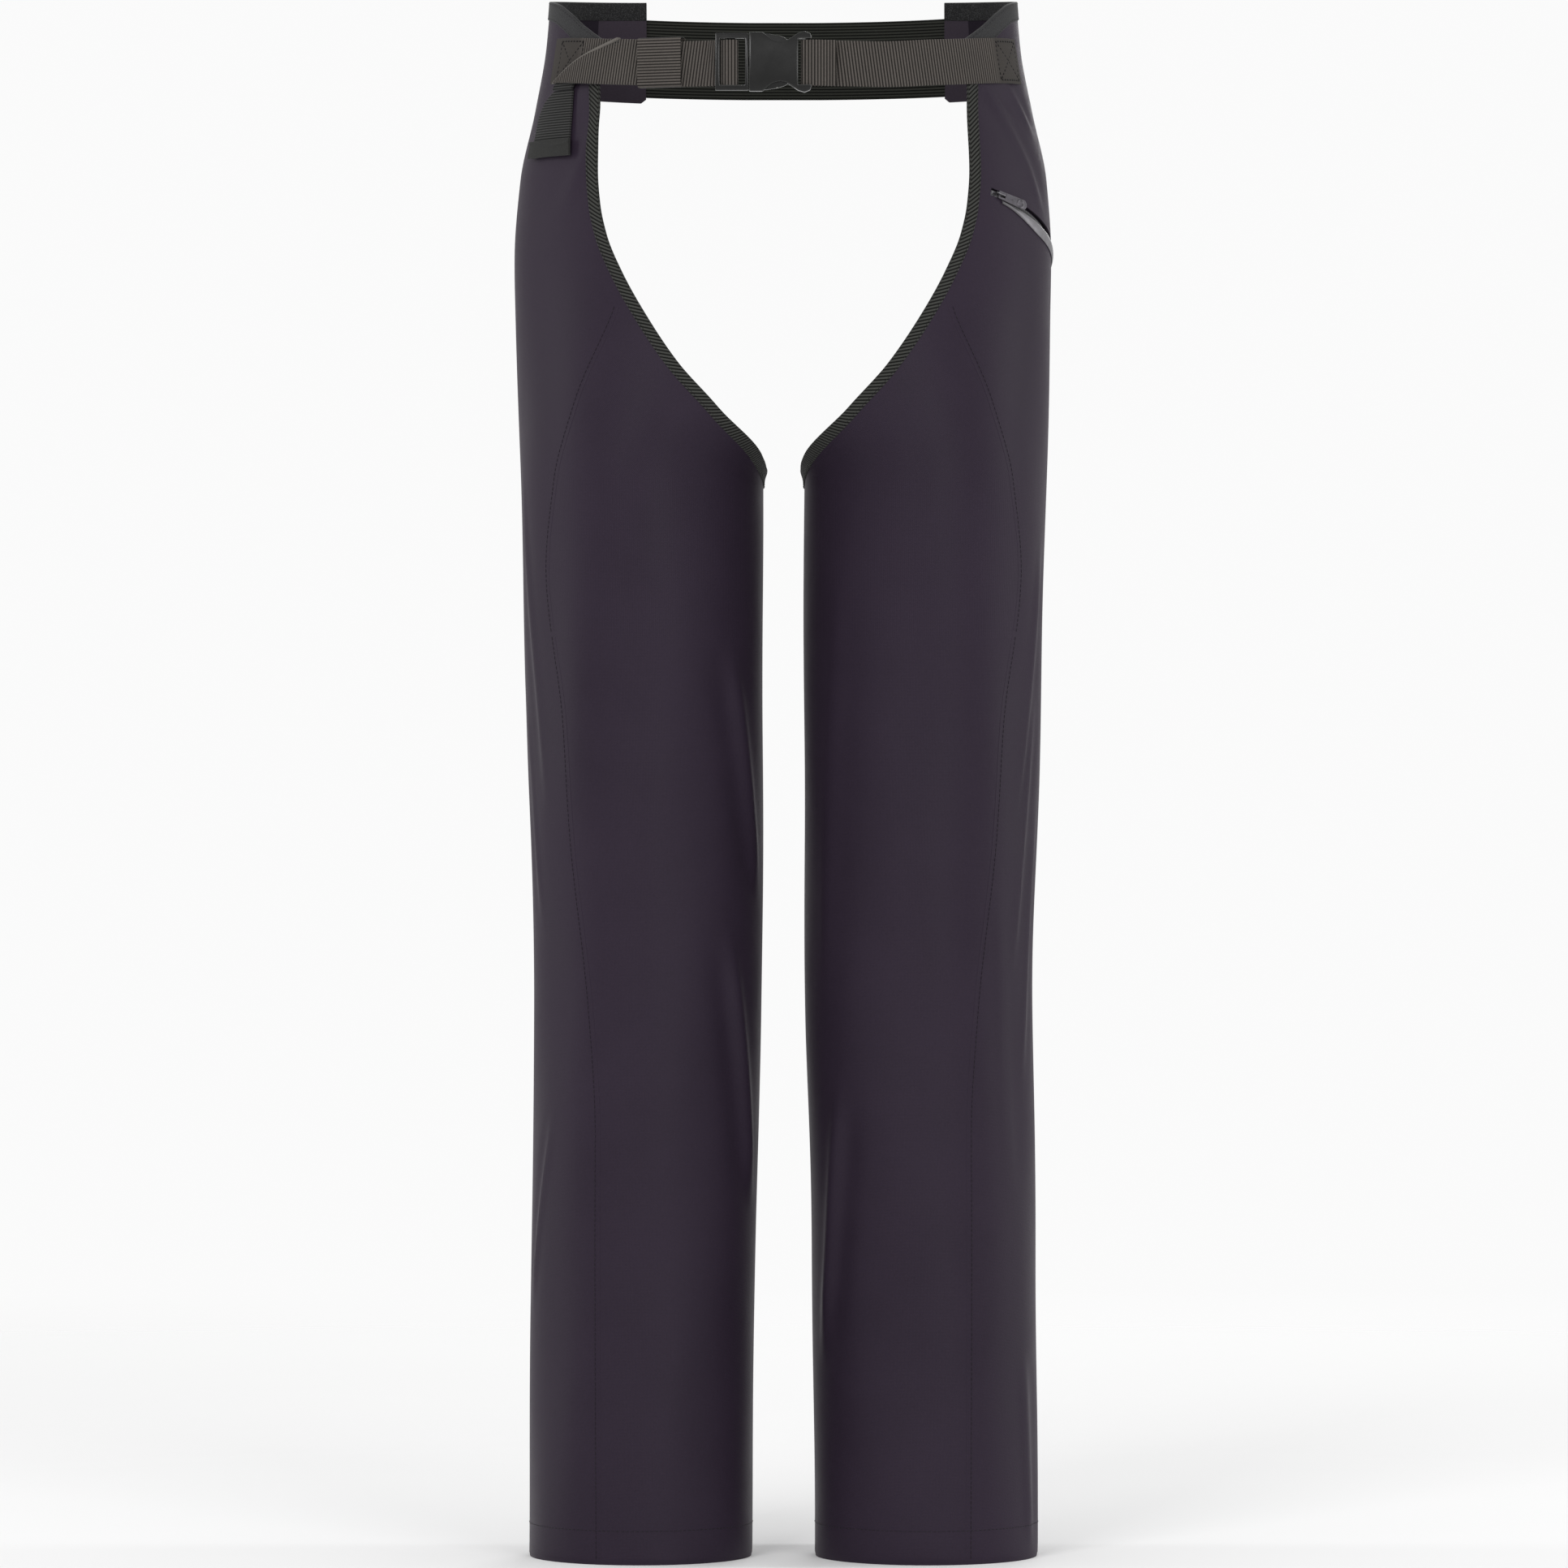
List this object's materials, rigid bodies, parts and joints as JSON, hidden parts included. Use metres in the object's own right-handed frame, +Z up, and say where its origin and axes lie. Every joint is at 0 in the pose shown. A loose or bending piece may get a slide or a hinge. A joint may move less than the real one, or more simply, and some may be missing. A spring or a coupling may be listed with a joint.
{
  "type": "chainsaw chaps",
  "caption": "Pair of full-length protective leg chaps hung from a waist belt, open at seat and crotch, with a front side-release buckle, elastic back band and a zipped hip pocket.",
  "frame": {"origin": "on the plane of the two hems, midway between the legs and midway front to back", "axes": "+Z up from the hems to the waist, +X towards the wearer's left, -Y the way the wearer faces"},
  "size_m": [0.3496, 0.2341, 1.0247],
  "materials": {
    "shell_fabric": "matte",
    "binding_tape": "matte",
    "waist_tape": "matte",
    "pad_fibre": "matte",
    "lining_fabric": "matte",
    "elastic_band": "matte",
    "webbing": "matte",
    "buckle_plastic": "satin",
    "zip_tape": "matte",
    "zip_coil": "satin",
    "zip_metal": "satin",
    "reflective_tape": "satin"
  },
  "bodies": {
    "waist": {"left_hip_panel": "shell_fabric", "right_hip_panel": "shell_fabric", "left_hip_fold_panel": "shell_fabric", "right_hip_fold_panel": "shell_fabric", "left_front_binding": "binding_tape", "right_front_binding": "binding_tape", "left_back_binding": "binding_tape", "right_back_binding": "binding_tape", "left_waist_binding": "waist_tape", "right_waist_binding": "waist_tape", "left_back_wing": "shell_fabric", "right_back_wing": "shell_fabric", "back_band": "elastic_band", "left_strap": "webbing", "right_strap": "webbing", "buckle_socket": "buckle_plastic", "zip_tape_upper": "zip_tape", "zip_tape_lower": "zip_tape", "zip_coil": "zip_coil", "zip_end_stop": "zip_metal", "zip_welt": "reflective_tape", "pocket_bag": "lining_fabric"},
    "left_thigh": {"left_thigh_front_panel": "shell_fabric", "left_thigh_back_panel": "shell_fabric", "left_thigh_pad": "pad_fibre", "left_thigh_lining": "lining_fabric", "left_knee_fold_panel": "shell_fabric", "left_knee_pad": "pad_fibre", "left_knee_lining": "lining_fabric"},
    "left_shin": {"left_shin_front_panel": "shell_fabric", "left_shin_back_panel": "shell_fabric", "left_shin_pad": "pad_fibre", "left_shin_lining": "lining_fabric", "left_hem_facing": "lining_fabric"},
    "right_thigh": {"right_thigh_front_panel": "shell_fabric", "right_thigh_back_panel": "shell_fabric", "right_thigh_pad": "pad_fibre", "right_thigh_lining": "lining_fabric", "right_knee_fold_panel": "shell_fabric", "right_knee_pad": "pad_fibre", "right_knee_lining": "lining_fabric"},
    "right_shin": {"right_shin_front_panel": "shell_fabric", "right_shin_back_panel": "shell_fabric", "right_shin_pad": "pad_fibre", "right_shin_lining": "lining_fabric", "right_hem_facing": "lining_fabric"},
    "plug": {"buckle_plug": "buckle_plastic"},
    "prong_upper": {"buckle_prong_upper": "buckle_plastic"},
    "prong_lower": {"buckle_prong_lower": "buckle_plastic"},
    "keeper": {"strap_keeper": "webbing"},
    "strap_end": {"strap_tail": "webbing"},
    "slider": {"zip_slider": "zip_metal"},
    "pull_tab": {"zip_pull_tab": "zip_metal"}
  },
  "joints": [
    {"name": "left_hip_bend", "type": "hinge", "parent": "waist", "child": "left_thigh", "pos_m": [0.09, 0, 0.769], "axis": [-1, 0, 0], "range_deg": [-10, 45], "deforming": ["left_hip_fold_panel", "left_front_binding", "left_back_binding"]},
    {"name": "left_knee_bend", "type": "hinge", "parent": "left_thigh", "child": "left_shin", "pos_m": [0.088, 0, 0.43], "axis": [1, 0, 0], "range_deg": [0, 80], "deforming": ["left_knee_fold_panel", "left_knee_pad", "left_knee_lining"]},
    {"name": "right_hip_bend", "type": "hinge", "parent": "waist", "child": "right_thigh", "pos_m": [-0.09, 0, 0.769], "axis": [-1, 0, 0], "range_deg": [-10, 45], "deforming": ["right_hip_fold_panel", "right_front_binding", "right_back_binding"]},
    {"name": "right_knee_bend", "type": "hinge", "parent": "right_thigh", "child": "right_shin", "pos_m": [-0.088, 0, 0.43], "axis": [1, 0, 0], "range_deg": [0, 80], "deforming": ["right_knee_fold_panel", "right_knee_pad", "right_knee_lining"]},
    {"name": "buckle_release", "type": "slide", "parent": "waist", "child": "plug", "axis": [-1, 0, 0], "range_m": [0, 0.026], "deforming": ["right_strap", "buckle_prong_upper", "buckle_prong_lower"]},
    {"name": "prong_upper_flex", "type": "hinge", "parent": "plug", "child": "prong_upper", "pos_m": [-0.0224, -0.1125, 0.9805], "axis": [0, 1, 0], "range_deg": [0, 12], "stiffness_Nm_per_rad": 0.5},
    {"name": "prong_lower_flex", "type": "hinge", "parent": "plug", "child": "prong_lower", "pos_m": [-0.0224, -0.1125, 0.9585], "axis": [0, 1, 0], "range_deg": [-12, 0], "stiffness_Nm_per_rad": 0.5},
    {"name": "keeper_slide", "type": "slide", "parent": "plug", "child": "keeper", "axis": [0.9346, -0.3557, 0], "range_m": [-0.022, 0.014]},
    {"name": "strap_end_flap", "type": "hinge", "parent": "waist", "child": "strap_end", "pos_m": [-0.14079, -0.05604, 0.955], "axis": [-0.6515, 0.7587, 0], "range_deg": [0, 90]},
    {"name": "zip_slide", "type": "hinge", "parent": "waist", "child": "slider", "pos_m": [0.07416, 0.00594, 0.87035], "axis": [0.1379, 0.3124, 0.9399], "range_deg": [0, 56.5], "deforming": ["zip_coil"]},
    {"name": "pull_tab_flip", "type": "hinge", "parent": "slider", "child": "pull_tab", "pos_m": [0.13963, -0.07082, 0.88625], "axis": [-0.1379, -0.3124, -0.9399], "range_deg": [0, 150]}
  ],
  "couplings": [
    {"joint": "prong_lower_flex", "follows": "prong_upper_flex", "ratio": -1}
  ]
}
